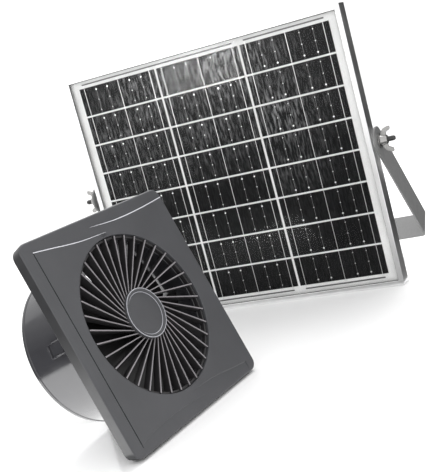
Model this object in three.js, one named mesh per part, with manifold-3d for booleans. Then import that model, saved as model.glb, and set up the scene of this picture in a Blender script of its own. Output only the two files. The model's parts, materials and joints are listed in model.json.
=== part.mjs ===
// Solar attic fan kit: a square louvred duct fan and the framed solar panel that drives it.
// Millimetres, +Z up. Both units stand on the plane z = 0, and the panel faces -Y.
import * as THREE from "three";
import { mergeVertices } from "three/addons/utils/BufferGeometryUtils.js";
import Module from "manifold-3d";

const wasm = await Module();
wasm.setup();

// ---------------------------------------------------------------- driving dimensions
const GAP = 0.3; // clearance between touching pieces

const PANEL = { width: 368, height: 322, depth: 20, lip: 6, wall: 1.5, flange: 12 };
const CELLS = { columns: 3, rows: 8, pitchX: 112.5, pitchZ: 36.7 };
const LAYERS = { glass: [1.7, 4.5], cells: [4.8, 5.2], backsheet: [5.5, 5.9], seat: [6.2, 7.6] };
const PIVOT = { y: 13.1, z: 165, boltRadius: 3, holeRadius: 3.3 };
const BRACKET = { strip: 33, thick: 2, reach: 172, bend: 5, tilt: 48, offset: 3.6 };
const BAR_HOLES = [-130, -50, 50, 130];
const BOX = { width: 62, height: 48, z: 262, outletY: 13.5 };

const FAN = { size: 200, rim: 13, wall: 2.2, corner: 9, draft: 1.5 };
const FAN_PLACE = { x: 47.3, y: -318.7, yaw: -7, lean: 18 };
const COLLAR = { outer: 75, inner: 72.6, front: -7.2, rear: -85 };
const GRILLE = { outer: 75.3, ring: 73.2, hub: 24.5, depth: 6, dish: 4, front: -0.4 };
const VANE = { count: 36, thick: 1.5, phase: 6, offset: 15.7 };
const ROTOR = { hub: 21, tip: 70, front: -15, rear: -35, bore: 2.3 };
const BLADE = { count: 7, phase: 15, chord: [31, 68], pitch: [36, 14.5], thick: 1.6, camber: 3, lean: 0.28 };
const MOTOR = { radius: 25, front: -37, rear: -61, shaft: 2 };
const GROMMET = { angle: 62, z: -52, hole: 4.2, bore: 2.4 };
const SPIDER = { front: -64.4, rear: -69, struts: 4, outer: 72.3, ring: 69.8 };

const rad = THREE.MathUtils.degToRad;

// ---------------------------------------------------------------- materials
const finish = (color, roughness, metalness = 0) =>
  new THREE.MeshStandardMaterial({ color, roughness, metalness });
const MATERIALS = {
  shell: finish(0x58595d, 0.5),
  collar: finish(0x5f6065, 0.22),
  grille: finish(0x77747a, 0.45),
  black: finish(0x17171a, 0.6),
  aluminium: finish(0xdfe0e2, 0.35, 0.7),
  steel: finish(0x8a8b8d, 0.4, 0.8),
  bright: finish(0xc9cacc, 0.25, 1),
  copper: finish(0xb06a35, 0.4, 1),
  magnet: finish(0x3a3a3c, 0.5, 0.6),
  white: finish(0xf1f1f0, 0.6),
  glass: finish(0xf4f8f8, 0.05),
  cell: finish(0x1d1e20, 0.3),
};
Object.assign(MATERIALS.glass, { transparent: true, opacity: 0.3 });

// ---------------------------------------------------------------- solids
// A closed geometry as a solid. Faces that point inwards are turned round.
function solid(geometry) {
  const bare = geometry.clone();
  for (const key of Object.keys(bare.attributes)) {
    if (key !== "position") bare.deleteAttribute(key);
  }
  const merged = mergeVertices(bare, 1e-4);
  const points = merged.attributes.position.array;
  const corners = [];
  let volume = 0;
  const index = merged.index.array;
  for (let i = 0; i < index.length; i += 3) {
    const [a, b, c] = [index[i], index[i + 1], index[i + 2]];
    if (a === b || b === c || c === a) continue;
    const [p, q, r] = [a, b, c].map((k) => new THREE.Vector3().fromArray(points, 3 * k));
    volume += p.dot(q.cross(r));
    corners.push(a, b, c);
  }
  if (volume < 0) corners.reverse();
  const mesh = new wasm.Mesh({
    numProp: 3,
    vertProperties: Float32Array.from(points),
    triVerts: Uint32Array.from(corners),
  });
  return new wasm.Manifold(mesh);
}

function geometryOf(manifold) {
  const mesh = manifold.getMesh();
  const geometry = new THREE.BufferGeometry();
  geometry.setAttribute("position", new THREE.BufferAttribute(Float32Array.from(mesh.vertProperties), 3));
  geometry.setIndex(new THREE.BufferAttribute(Uint32Array.from(mesh.triVerts), 1));
  geometry.computeVertexNormals();
  return geometry;
}

function piece(parent, name, manifold, material) {
  const mesh = new THREE.Mesh(geometryOf(manifold), material);
  mesh.name = name;
  parent.add(mesh);
  return mesh;
}

// A box between two corners.
function block([x0, y0, z0], [x1, y1, z1]) {
  const box = new THREE.BoxGeometry(x1 - x0, y1 - y0, z1 - z0);
  return solid(box.translate((x0 + x1) / 2, (y0 + y1) / 2, (z0 + z1) / 2));
}

// A profile of [radius, z] corners turned about the Z axis.
function turned(profile, segments = 40) {
  const points = [...profile, profile[0]].map(([r, z]) => new THREE.Vector2(r, z));
  return solid(new THREE.LatheGeometry(points, segments).rotateX(Math.PI / 2));
}

const tube = (inner, outer, z0, z1, segments) =>
  turned([[inner, z0], [outer, z0], [outer, z1], [inner, z1]], segments);
const rod = (radius, z0, z1, segments) => tube(0, radius, z0, z1, segments);

// A prism with flat sides, such as a nut or a bolt head, and an optional bore.
function hexagon(across, bore, z0, z1) {
  const prism = rod(across / Math.sqrt(3), z0, z1, 6);
  return bore ? prism.subtract(rod(bore, z0 - 1, z1 + 1, 20)) : prism;
}

function extruded(shape, z0, z1, curveSegments = 6) {
  const settings = { depth: z1 - z0, bevelEnabled: false, curveSegments };
  return solid(new THREE.ExtrudeGeometry(shape, settings).translate(0, 0, z0));
}

function roundedSquare(width, height, radius) {
  const [w, h, r] = [width / 2, height / 2, radius];
  const shape = new THREE.Shape();
  shape.absarc(w - r, h - r, r, 0, Math.PI / 2);
  shape.absarc(-w + r, h - r, r, Math.PI / 2, Math.PI);
  shape.absarc(-w + r, -h + r, r, Math.PI, 1.5 * Math.PI);
  shape.absarc(w - r, -h + r, r, 1.5 * Math.PI, 2 * Math.PI);
  return shape;
}

// Every vertex of a geometry moved by a function of its place.
function warped(geometry, move) {
  const place = geometry.attributes.position;
  const point = new THREE.Vector3();
  for (let i = 0; i < place.count; i++) {
    point.fromBufferAttribute(place, i);
    move(point);
    place.setXYZ(i, point.x, point.y, point.z);
  }
  return geometry;
}

// ---------------------------------------------------------------- fan, axis along +Z, face at z = 0
// A narrow strip that follows a curve across the face, for the shallow style lines.
function creaseShape(points, width) {
  const curve = new THREE.SplineCurve(points.map(([x, y]) => new THREE.Vector2(x, y)));
  const spine = curve.getPoints(8);
  const side = (sign) => spine.map((p, i) => {
    const tangent = curve.getTangent(i / (spine.length - 1));
    return new THREE.Vector2(p.x - (sign * tangent.y * width) / 2, p.y + (sign * tangent.x * width) / 2);
  });
  return new THREE.Shape([...side(1), ...side(-1).reverse()]);
}

const CREASES = [
  [[-87.5, 88.5], [-66, 85.5], [-33, 81.5], [3, 79.5]],
  [[-12, 89.5], [24, 86.5], [60, 86.7], [92, 88.5]],
];

function frontCover() {
  const half = FAN.size / 2;
  const edge = 1.5;
  const outline = roundedSquare(FAN.size - 2 * edge, FAN.size - 2 * edge, FAN.corner - edge);
  const bevel = { bevelThickness: edge, bevelSize: edge, bevelSegments: 2 };
  const settings = { depth: FAN.rim - 2 * edge, curveSegments: 4, ...bevel };
  const outer = new THREE.ExtrudeGeometry(outline, settings).translate(0, 0, edge - FAN.rim);
  warped(outer, (p) => {
    const shrink = 1 + ((FAN.draft / half) * p.z) / FAN.rim;
    p.x *= shrink;
    p.y *= shrink;
  });
  const inside = FAN.size - 2 * (FAN.wall + FAN.draft);
  let cover = solid(outer)
    .subtract(extruded(roundedSquare(inside, inside, FAN.corner - FAN.wall), -FAN.rim - 1, -FAN.wall, 4))
    .subtract(rod(GRILLE.outer + GAP + 0.1, -FAN.rim, 1, 60))
    .subtract(block([-87.9, -90, -0.6], [-86.9, 88, 1]));
  for (const turn of [0, Math.PI]) {
    for (const crease of CREASES) {
      const groove = extruded(creaseShape(crease, 0.9), -0.5, 1);
      cover = cover.subtract(groove.rotate([0, 0, THREE.MathUtils.radToDeg(turn)]));
    }
  }
  return cover;
}

// How far a straight vane that passes beside the axis has turned at a radius.
function vaneAngle(radius) {
  return Math.acos(VANE.offset / GRILLE.outer) - Math.acos(VANE.offset / radius);
}

function louvreGrille() {
  const steps = 5;
  const inner = GRILLE.hub - 1;
  const shape = new THREE.Shape();
  shape.absarc(0, 0, GRILLE.outer, 0, 2 * Math.PI);
  const pitch = (2 * Math.PI) / VANE.count;
  for (let i = 0; i < VANE.count; i++) {
    const side = (sign) => Array.from({ length: steps + 1 }, (_, k) => {
      const r = inner + ((GRILLE.ring - inner) * k) / steps;
      const half = pitch / 2 - VANE.thick / 2 / r;
      const angle = rad(VANE.phase) + i * pitch + vaneAngle(r) + sign * half;
      return new THREE.Vector2(r * Math.cos(angle), r * Math.sin(angle));
    });
    shape.holes.push(new THREE.Path([...side(1), ...side(-1).reverse()]));
  }
  const settings = { depth: GRILLE.depth, bevelEnabled: false, curveSegments: 60 };
  const plate = new THREE.ExtrudeGeometry(shape, settings);
  plate.translate(0, 0, GRILLE.front - GRILLE.depth);
  warped(plate, (p) => {
    const r = Math.hypot(p.x, p.y);
    p.z -= (GRILLE.dish * (GRILLE.outer - r)) / (GRILLE.outer - inner);
  });
  const seat = GRILLE.front - GRILLE.dish;
  const cup = rod(GRILLE.hub, seat - GRILLE.depth, seat, 36);
  const core = rod(GRILLE.hub - 0.7, seat - 2 * GRILLE.depth, seat + 2, 36);
  return solid(plate).subtract(core).add(cup);
}

function hubCap() {
  const base = GRILLE.front - GRILLE.dish + GAP;
  return turned([[0, base], [23.6, base], [23.6, base + 1.6], [22.6, base + 2.6], [21, base + 2.6],
    [20.2, base + 1.8], [0, base + 2.1]], 36);
}

function ductHousing() {
  const width = FAN.size - 2 * (FAN.wall + FAN.draft) - 1;
  const flange = extruded(roundedSquare(width, width, 6), 0.1 - FAN.rim, 2.6 - FAN.rim, 4)
    .subtract(rod(73.5, -FAN.rim - 1, -FAN.rim + 4, 56));
  const { outer, inner, front, rear } = COLLAR;
  const collar = turned([[inner, rear + 0.6], [inner + 0.6, rear], [outer, rear], [outer, rear + 3],
    [outer - 0.6, rear + 4], [outer - 0.6, front - 1], [outer - 1.4, front], [inner, front]], 56);
  const corner = width / 2 - 7;
  let housing = flange.add(collar);
  for (const [x, y] of [[1, 1], [-1, 1], [-1, -1], [1, -1]]) {
    const hole = rod(2.3, -FAN.rim - 1, -FAN.rim + 4, 20);
    housing = housing.subtract(hole.translate([x * corner, y * corner, 0]));
  }
  return housing.subtract(radial(rod(GROMMET.hole, -4, 4, 20)));
}

// A solid drawn along +Z from the collar's wall, laid along the radius at the lead hole.
const radial = (manifold) =>
  manifold.rotate([0, 90, 0]).translate([COLLAR.outer - 1.5, 0, GROMMET.z]).rotate([0, 0, GROMMET.angle]);

// The rubber grommet that the motor's lead passes through.
function leadGrommet() {
  const { hole, bore } = GROMMET;
  const sleeve = hole - GAP;
  const flange = hole + 2.4;
  return radial(turned([[bore, -2.2], [sleeve, -2.2], [sleeve, 1.6], [flange, 1.6], [flange - 0.4, 3.4],
    [bore, 3.6]], 20));
}

// A small spring tab on the side of the collar.
function wallClip(side) {
  const r = COLLAR.outer - 0.6 + GAP;
  const plate = block([r - 1, -7, -53], [r + 2.4, 7, -37]).subtract(rod(r, -60, -30, 96));
  const ribs = [-6, 6].map((y) => block([r + 1, y - 0.8, -53], [r + 3.6, y + 0.8, -35]));
  const tab = plate.add(ribs[0]).add(ribs[1]);
  return side < 0 ? tab.rotate([0, 0, 171]) : tab.rotate([0, 0, -9]);
}

// One twisted impeller blade: u runs from root to tip, v along the chord and w through it.
function blade() {
  const box = new THREE.BoxGeometry(1, 1, 1, 4, 5, 1);
  warped(box, (p) => {
    const [u, v, w] = [p.x + 0.5, p.y, p.z];
    const r = ROTOR.hub - 2 + (ROTOR.tip - ROTOR.hub + 2) * u;
    const pitch = rad(THREE.MathUtils.lerp(...BLADE.pitch, u));
    const chord = THREE.MathUtils.lerp(...BLADE.chord, u);
    const along = v * chord;
    const bow = BLADE.camber * (1 - 4 * v * v) + w * BLADE.thick;
    const angle = (along * Math.cos(pitch) + bow * Math.sin(pitch)) / r + BLADE.lean * u;
    const z = (ROTOR.front + ROTOR.rear) / 2 + along * Math.sin(pitch) - bow * Math.cos(pitch);
    p.set(r * Math.cos(angle), r * Math.sin(angle), z);
  });
  return solid(box);
}

function impeller() {
  const { front, rear, hub } = ROTOR;
  let wheel = turned([[0, front], [hub - 4, front], [hub - 1.2, front - 1.2], [hub, front - 4], [hub, rear],
    [hub - 2, rear], [hub - 2, front - 4], [6, front - 4], [6, rear + 2], [0, rear + 2]], 28);
  for (let i = 0; i < BLADE.count; i++) {
    wheel = wheel.add(blade().rotate([0, 0, BLADE.phase + (360 * i) / BLADE.count]));
  }
  return wheel.subtract(rod(ROTOR.bore, rear - 1, front + 1, 24));
}

function motorBracket() {
  const { front, rear, outer, ring } = SPIDER;
  let spider = tube(ring, outer, rear, front, 44).add(rod(MOTOR.radius + 2, rear, front - 1.4, 32));
  for (let i = 0; i < SPIDER.struts; i++) {
    const strut = block([MOTOR.radius, -2.2, rear], [ring + 1, 2.2, front]);
    spider = spider.add(strut.rotate([0, 0, 45 + (360 * i) / SPIDER.struts]));
  }
  spider = spider.subtract(rod(5.5, rear - 1, front + 1, 24));
  for (const [x, y] of screwPlaces()) {
    spider = spider.subtract(rod(1.9, rear - 1, front + 1, 16).translate([x, y, 0]));
  }
  return spider;
}

const screwPlaces = () => [0, 1, 2].map((i) => {
  const angle = rad(30 + 120 * i);
  return [17 * Math.cos(angle), 17 * Math.sin(angle)];
});

function motorCan() {
  const { radius, front, rear } = MOTOR;
  return turned([[6.5, front - 1.4], [6.5, front], [radius - 2, front], [radius, front - 2], [radius, rear],
    [radius - 1.2, rear], [radius - 1.2, front - 1.4]], 28);
}

function motorCap() {
  const front = MOTOR.rear - GAP;
  const rear = SPIDER.front - 1.4 + GAP;
  let cap = turned([[4.5, rear], [MOTOR.radius, rear], [MOTOR.radius, front], [4.5, front]], 28);
  for (const [x, y] of screwPlaces()) {
    cap = cap.subtract(rod(1.9, rear - 1, front + 1, 16).translate([x, y, 0]));
  }
  return cap;
}

function stator() {
  const [front, rear] = [MOTOR.front - 6, MOTOR.rear + 5];
  let core = tube(20, MOTOR.radius - 1.8 - GAP, rear, front, 28);
  for (let i = 0; i < 6; i++) {
    core = core.add(block([13.5, -3, rear], [21, 3, front]).rotate([0, 0, 60 * i]));
  }
  return core;
}

function machineScrew(z0, length, headRadius, headHeight, shank) {
  const top = z0 - headHeight;
  return turned([[0, top], [headRadius - 0.6, top], [headRadius, top + 0.8], [headRadius, z0], [shank, z0],
    [shank, z0 + length], [0, z0 + length]], 16);
}

function buildFan() {
  const lean = new THREE.Group();
  lean.rotation.x = rad(90 - FAN_PLACE.lean);
  const unit = new THREE.Group();
  unit.rotation.z = rad(90 + FAN_PLACE.yaw);
  const slope = rad(FAN_PLACE.lean);
  const rise = (FAN.size / 2 - FAN.draft) * Math.cos(slope) + FAN.rim * Math.sin(slope);
  unit.position.set(FAN_PLACE.x, FAN_PLACE.y, rise);
  unit.add(lean);

  const m = MATERIALS;
  piece(lean, "front_cover", frontCover(), m.shell);
  piece(lean, "louvre_grille", louvreGrille(), m.grille);
  piece(lean, "hub_cap", hubCap(), m.shell);
  piece(lean, "duct_housing", ductHousing(), m.collar);
  piece(lean, "wall_clip_left", wallClip(-1), m.collar);
  piece(lean, "wall_clip_right", wallClip(1), m.collar);
  piece(lean, "lead_grommet", leadGrommet(), m.black);
  piece(lean, "impeller", impeller(), m.black);
  piece(lean, "impeller_nut", hexagon(9, ROTOR.bore, ROTOR.front + GAP, ROTOR.front + 3.6), m.bright);
  piece(lean, "motor_shaft", rod(MOTOR.shaft, -62.5, ROTOR.front + 3.9, 20), m.bright);
  piece(lean, "rotor_magnet", tube(MOTOR.shaft + GAP, 12.8, MOTOR.rear + 6, MOTOR.front - 7, 32), m.magnet);
  piece(lean, "front_bearing", tube(MOTOR.shaft + GAP, 6.2, MOTOR.front - 4, MOTOR.front, 24), m.bright);
  piece(lean, "rear_bearing", tube(MOTOR.shaft + GAP, 4.2, -62.6, -59, 24), m.bright);
  piece(lean, "stator_core", stator(), m.copper);
  piece(lean, "motor_can", motorCan(), m.steel);
  piece(lean, "motor_rear_cap", motorCap(), m.black);
  piece(lean, "motor_bracket", motorBracket(), m.black);
  screwPlaces().forEach(([x, y], i) => {
    const screw = machineScrew(SPIDER.rear - GAP, 7, 3, 2, 1.5).translate([x, y, 0]);
    piece(lean, "motor_screw_" + (i + 1), screw, m.bright);
  });
  return unit;
}

// ---------------------------------------------------------------- panel, front face at y = 0
// One frame rail: an extrusion with a front lip, a glass channel and a rear flange, mitred at both ends.
// Its section is drawn as [inward, depth] and placed by a function of (inward, depth, along).
function frameRail(length, place) {
  const { lip, wall, flange, depth } = PANEL;
  const [seat0, seat1] = LAYERS.seat;
  const section = [[0, 0], [lip, 0], [lip, 1.4], [wall, 1.4], [wall, seat0], [lip, seat0], [lip, seat1],
    [wall, seat1], [wall, depth - 1.4], [flange, depth - 1.4], [flange, depth], [0, depth]];
  const shape = new THREE.Shape(section.map(([u, y]) => new THREE.Vector2(u, y)));
  const rail = new THREE.ExtrudeGeometry(shape, { depth: 1, bevelEnabled: false });
  warped(rail, (p) => {
    const mitre = p.x + GAP / 2;
    p.copy(place(p.x, p.y, p.z > 0.5 ? length - mitre : mitre));
  });
  return solid(rail);
}

function cellString(column) {
  const left = (column - CELLS.columns / 2) * CELLS.pitchX;
  const base = (PANEL.height - CELLS.rows * CELLS.pitchZ) / 2;
  const [front, back] = LAYERS.cells;
  const seam = 0.6;
  const top = base + CELLS.rows * CELLS.pitchZ;
  return block([left + seam, front, base], [left + CELLS.pitchX - seam, back, top]);
}

function sheet([front, back]) {
  const inset = PANEL.wall + GAP;
  const half = PANEL.width / 2 - inset;
  return block([-half, front, inset], [half, back, PANEL.height - inset]);
}

// An L-shaped key in the hollow of a frame corner.
function cornerKey(sx, top) {
  const [u0, u1, leg, thick] = [PANEL.wall + GAP, 9, 34, 2.2];
  const y = PANEL.depth - 1.4 - GAP;
  const upright = block([u0, y - u1, u0], [u0 + thick, y, leg]);
  const level = block([u0, y - u1, u0], [leg, y, u0 + thick]);
  const key = upright.add(level).translate([-PANEL.width / 2, 0, 0]);
  const sided = sx > 0 ? key.mirror([1, 0, 0]) : key;
  return top ? sided.mirror([0, 0, 1]).translate([0, 0, PANEL.height]) : sided;
}

function junctionBox() {
  const [w, h] = [BOX.width / 2, BOX.height / 2];
  const [front, rear] = [LAYERS.backsheet[1] + GAP, 20];
  const wall = 2;
  const inside = block([-w + wall, front + wall, -h + wall], [w - wall, rear + 1, h - wall]);
  const outlet = solid(new THREE.CylinderGeometry(3.4, 3.4, 8, 20)).translate([0, BOX.outletY, -h]);
  return block([-w, front, -h], [w, rear, h])
    .subtract(inside)
    .subtract(outlet)
    .translate([0, 0, BOX.z]);
}

function junctionLid() {
  const [w, h] = [BOX.width / 2, BOX.height / 2];
  return block([-w, 20 + GAP, -h], [w, 22.6, h])
    .add(block([-w + 4, 22, -h + 4], [w - 4, 23.6, h - 4]))
    .translate([0, 0, BOX.z]);
}

// The hollow gland that a lead leaves the junction box through.
function cableGland() {
  const base = BOX.z - BOX.height / 2 - GAP;
  const gland = turned([[2.4, 0], [6.5, 0], [6.5, -4], [5.4, -5], [5.4, -12], [4.2, -14], [2.4, -14]], 20);
  return gland.translate([0, BOX.outletY, base]);
}

// Side hardware is drawn along +X from the outer face of the frame.
const alongX = (manifold, side) => {
  const laid = manifold.rotate([0, 90, 0]);
  const turnedOver = side < 0 ? laid.mirror([1, 0, 0]) : laid;
  return turnedOver.translate([(side * PANEL.width) / 2, PIVOT.y, PIVOT.z]);
};

function pivotBolt() {
  const head = hexagon(9, 0, -PANEL.wall - GAP - 3, -PANEL.wall - GAP);
  return head.add(rod(PIVOT.boltRadius, -PANEL.wall - GAP - 1, 24, 20));
}

function wingNut(z0) {
  const hub = turned([[0, z0], [6, z0], [5, z0 + 8], [0, z0 + 8]], 24);
  const outline = new THREE.Shape();
  outline.moveTo(3, 0.5);
  outline.lineTo(8, 1);
  outline.quadraticCurveTo(15, 6, 15, 10.5);
  outline.quadraticCurveTo(15, 13, 12.5, 13);
  outline.quadraticCurveTo(9, 12.5, 8, 8);
  outline.lineTo(3, 7);
  const wing = extruded(outline, -1.1, 1.1, 4).rotate([90, 0, 0]).translate([0, 0, z0]);
  return hub.add(wing).add(wing.rotate([0, 0, 180])).subtract(rod(PIVOT.holeRadius, z0 - 1, z0 + 9, 20));
}

// The bent strip: drawn with the pivot line at the origin, its arms along +Y and its width along Z.
function uBracket() {
  const { strip, thick, reach, bend, offset } = BRACKET;
  const half = PANEL.width / 2 + offset + thick;
  const outline = new THREE.Shape();
  const arc = (x, y, r, from, to, reversed) => outline.absarc(x, y, r, from, to, reversed);
  outline.moveTo(-half, -strip / 2);
  outline.lineTo(-half, reach - bend);
  arc(-half + bend, reach - bend, bend, Math.PI, Math.PI / 2, true);
  arc(half - bend, reach - bend, bend, Math.PI / 2, 0, true);
  outline.lineTo(half, -strip / 2);
  outline.lineTo(half - thick, -strip / 2);
  arc(half - bend, reach - bend, bend - thick, 0, Math.PI / 2, false);
  arc(-half + bend, reach - bend, bend - thick, Math.PI / 2, Math.PI, false);
  outline.lineTo(-half + thick, -strip / 2);
  let bracket = extruded(outline, -strip / 2, strip / 2, 5);

  const side = new THREE.Shape();
  side.absarc(0, 0, strip / 2, Math.PI / 2, 1.5 * Math.PI);
  side.lineTo(reach + 1, -strip / 2);
  side.lineTo(reach + 1, strip / 2);
  const settings = { depth: 2 * half + 2, bevelEnabled: false, curveSegments: 10 };
  const prism = new THREE.ExtrudeGeometry(side, settings);
  bracket = bracket.intersect(solid(warped(prism, (p) => p.set(p.z - half - 1, p.x, p.y))));

  const drill = (length) => new THREE.CylinderGeometry(PIVOT.holeRadius, PIVOT.holeRadius, length, 20);
  bracket = bracket.subtract(solid(drill(2 * half + 4).rotateZ(Math.PI / 2)));
  for (const x of BAR_HOLES) {
    bracket = bracket.subtract(solid(drill(8)).translate([x, reach - 1, 0]));
  }
  return bracket;
}

function buildPanel() {
  const unit = new THREE.Group();
  const m = MATERIALS;
  const { width, height } = PANEL;
  const at = (x, y, z) => new THREE.Vector3(x, y, z);
  piece(unit, "frame_rail_bottom", frameRail(width, (u, y, s) => at(s - width / 2, y, u)), m.aluminium);
  piece(unit, "frame_rail_top", frameRail(width, (u, y, s) => at(s - width / 2, y, height - u)), m.aluminium);
  for (const [side, sign] of [["left", -1], ["right", 1]]) {
    const hole = alongX(rod(PIVOT.holeRadius, -3, 1, 20), sign);
    const rail = frameRail(height, (u, y, s) => at(sign * (width / 2 - u), y, s)).subtract(hole);
    piece(unit, "frame_rail_" + side, rail, m.aluminium);
    piece(unit, "corner_key_lower_" + side, cornerKey(sign, false), m.steel);
    piece(unit, "corner_key_upper_" + side, cornerKey(sign, true), m.steel);
    piece(unit, "pivot_bolt_" + side, alongX(pivotBolt(), sign), m.bright);
    const spacer = tube(PIVOT.holeRadius, 9, GAP, BRACKET.offset - GAP, 28);
    piece(unit, "pivot_spacer_" + side, alongX(spacer, sign), m.white);
    const face = BRACKET.offset + BRACKET.thick + GAP;
    const washer = tube(PIVOT.holeRadius, 8, face, face + 1.2, 28);
    piece(unit, "pivot_washer_" + side, alongX(washer, sign), m.bright);
    piece(unit, "wing_nut_" + side, alongX(wingNut(face + 1.5), sign), m.bright);
  }
  piece(unit, "cover_glass", sheet(LAYERS.glass), m.glass);
  ["left", "middle", "right"].forEach((name, i) => piece(unit, "cell_string_" + name, cellString(i), m.cell));
  piece(unit, "backsheet", sheet(LAYERS.backsheet), m.white);
  piece(unit, "junction_box", junctionBox(), m.black);
  piece(unit, "junction_box_lid", junctionLid(), m.black);
  piece(unit, "cable_gland", cableGland(), m.black);

  const swing = new THREE.Group();
  swing.position.set(0, PIVOT.y, PIVOT.z);
  swing.rotation.x = -rad(BRACKET.tilt);
  piece(swing, "u_bracket", uBracket(), m.steel);
  unit.add(swing);
  return unit;
}

// ---------------------------------------------------------------- the kit, origin at bottom centre
const kit = new THREE.Group();
kit.add(buildFan(), buildPanel());
kit.updateMatrixWorld(true);
const bounds = new THREE.Box3().setFromObject(kit, true);
kit.position.set(-(bounds.min.x + bounds.max.x) / 2, -(bounds.min.y + bounds.max.y) / 2, -bounds.min.z);

export default kit;
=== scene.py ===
"""Solar attic fan kit: a square louvred duct fan and the framed solar panel that drives it.

Pieces are drawn in millimetres in local frames and placed in the row frame, which is in metres.
FAN: x right, y up, z out of the face, origin at the middle of the face.
PANEL: x right, y behind the front face, z up, origin at the middle of the foot.
"""
import json
import random
from math import acos, asin, atan2, cos, hypot, pi, radians, sin, tan

import bmesh
import bpy
from mathutils import Matrix, Vector


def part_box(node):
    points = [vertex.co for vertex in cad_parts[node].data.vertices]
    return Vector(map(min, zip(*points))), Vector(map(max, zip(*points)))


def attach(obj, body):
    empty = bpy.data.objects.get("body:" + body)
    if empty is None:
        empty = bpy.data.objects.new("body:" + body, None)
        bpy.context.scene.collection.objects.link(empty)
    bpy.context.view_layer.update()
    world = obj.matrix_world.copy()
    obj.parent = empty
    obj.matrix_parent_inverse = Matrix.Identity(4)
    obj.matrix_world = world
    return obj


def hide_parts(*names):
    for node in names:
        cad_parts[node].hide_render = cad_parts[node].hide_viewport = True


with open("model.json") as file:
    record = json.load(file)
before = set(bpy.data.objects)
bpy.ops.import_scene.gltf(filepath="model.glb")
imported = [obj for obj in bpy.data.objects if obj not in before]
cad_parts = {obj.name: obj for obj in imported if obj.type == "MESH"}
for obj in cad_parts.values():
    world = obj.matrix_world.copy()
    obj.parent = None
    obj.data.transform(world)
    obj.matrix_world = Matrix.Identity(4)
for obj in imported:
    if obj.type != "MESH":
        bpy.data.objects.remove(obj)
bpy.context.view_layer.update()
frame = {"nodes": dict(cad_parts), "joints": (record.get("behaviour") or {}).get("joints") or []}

# ---- local frames
MM = 0.001
JOINTS = {joint["name"]: joint for joint in frame["joints"]}


def framed(origin, x, y, z):
    """The matrix that takes millimetres along three axes to the row frame."""
    turn = Matrix((x, y, z)).transposed().to_4x4()
    return Matrix.Translation(origin) @ turn @ Matrix.Scale(MM, 4)


def fan_frame():
    spin = JOINTS["impeller_spin"]
    out = Vector(spin["axis"]).normalized()
    right = Vector((0, 0, 1)).cross(out).normalized()
    return framed(Vector(spin["pos_m"]), right, out.cross(right), out)


def side_frame(side):
    """Along the pivot, out from the frame's side: z out, x back towards the bracket's arm."""
    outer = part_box("frame_rail_right")[1].x
    pivot = JOINTS["bracket_tilt"]["pos_m"]
    along = Vector((side, 0, 0))
    back = Vector((0, 1, 0))
    return framed(Vector((side * outer, pivot[1], pivot[2])), back, along.cross(back), along)


FAN = fan_frame()
PANEL = Matrix.Translation((0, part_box("frame_rail_left")[0].y, 0)) @ Matrix.Scale(MM, 4)
PIVOT = Matrix.Translation(JOINTS["bracket_tilt"]["pos_m"]) @ Matrix.Scale(MM, 4)
SIDES = {"left": side_frame(-1), "right": side_frame(1)}


def reach(node, place):
    """Lowest and highest corner of a CAD node in a local frame, in millimetres."""
    inverse = place.inverted()
    points = [inverse @ vertex.co for vertex in frame["nodes"][node].data.vertices]
    return [Vector([pick(p[k] for p in points) for k in range(3)]) for pick in (min, max)]


# ---- dimensions, mm
COVER_LOW, COVER_HIGH = reach("front_cover", FAN)
HALF = COVER_HIGH.x  # half the side of the square face
RIM = -COVER_LOW.z
DRAFT = 1.5
WALL = 2.2
CORNER = 9.0
GRILLE = reach("louvre_grille", FAN)[1].x  # outer radius
VANES = 36
VANE_OFFSET = 15.7  # how far the line of each vane passes from the axis
HUB = reach("hub_cap", FAN)[1].x
GRILLE_FRONT = -0.4  # the vanes' outer ends, just behind the face
DISH = 4.0
COLLAR = 75.0
COLLAR_INSIDE = 72.6
COLLAR_REAR = reach("duct_housing", FAN)[0].z

PANEL_LOW, PANEL_HIGH = reach("frame_rail_left", PANEL)
WIDTH = -2 * PANEL_LOW.x
HEIGHT = PANEL_HIGH.z
DEPTH = PANEL_HIGH.y
LIP = 6.0
BOLT_HOLE = 3.3
COLUMNS = ("left", "middle", "right")
ROWS = 8
COLUMN_GAP = 3.0
ROW_GAP = 2.2


# ---- outlines and closed shells
def filleted(corners, steps=4):
    """A closed outline from (x, y, radius) corners, with an arc at each corner that has a radius."""
    outline = []
    count = len(corners)
    for i, (x, y, radius) in enumerate(corners):
        here = Vector((x, y))
        before = (Vector(corners[i - 1][:2]) - here).normalized()
        after = (Vector(corners[(i + 1) % count][:2]) - here).normalized()
        if radius <= 0:
            outline.append((x, y))
            continue
        half = before.angle(after) / 2
        start, end = (here + d * radius / tan(half) for d in (before, after))
        centre = here + (before + after).normalized() * radius / sin(half)
        a0 = atan2(start.y - centre.y, start.x - centre.x)
        turn = (atan2(end.y - centre.y, end.x - centre.x) - a0 + pi) % (2 * pi) - pi
        for k in range(steps + 1):
            a = a0 + turn * k / steps
            outline.append((centre.x + radius * cos(a), centre.y + radius * sin(a)))
    return outline


def circle(radius, count=32, x=0.0, y=0.0):
    angles = [2 * pi * i / count for i in range(count)]
    return [(x + radius * cos(a), y + radius * sin(a)) for a in angles]


def rounded_square(half, radius, straight=30, corner=8):
    """Evenly matched points of a rounded square, so that two of them can be joined point by point."""
    points = []
    for quarter in range(4):
        turn = Matrix.Rotation(quarter * pi / 2, 2)
        for k in range(corner + 1):
            a = k / corner * pi / 2
            points.append(turn @ Vector((half - radius + radius * cos(a), half - radius + radius * sin(a))))
        for k in range(1, straight):
            points.append(turn @ Vector(((half - radius) * (1 - 2 * k / straight), half)))
    return [tuple(p) for p in points]


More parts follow.
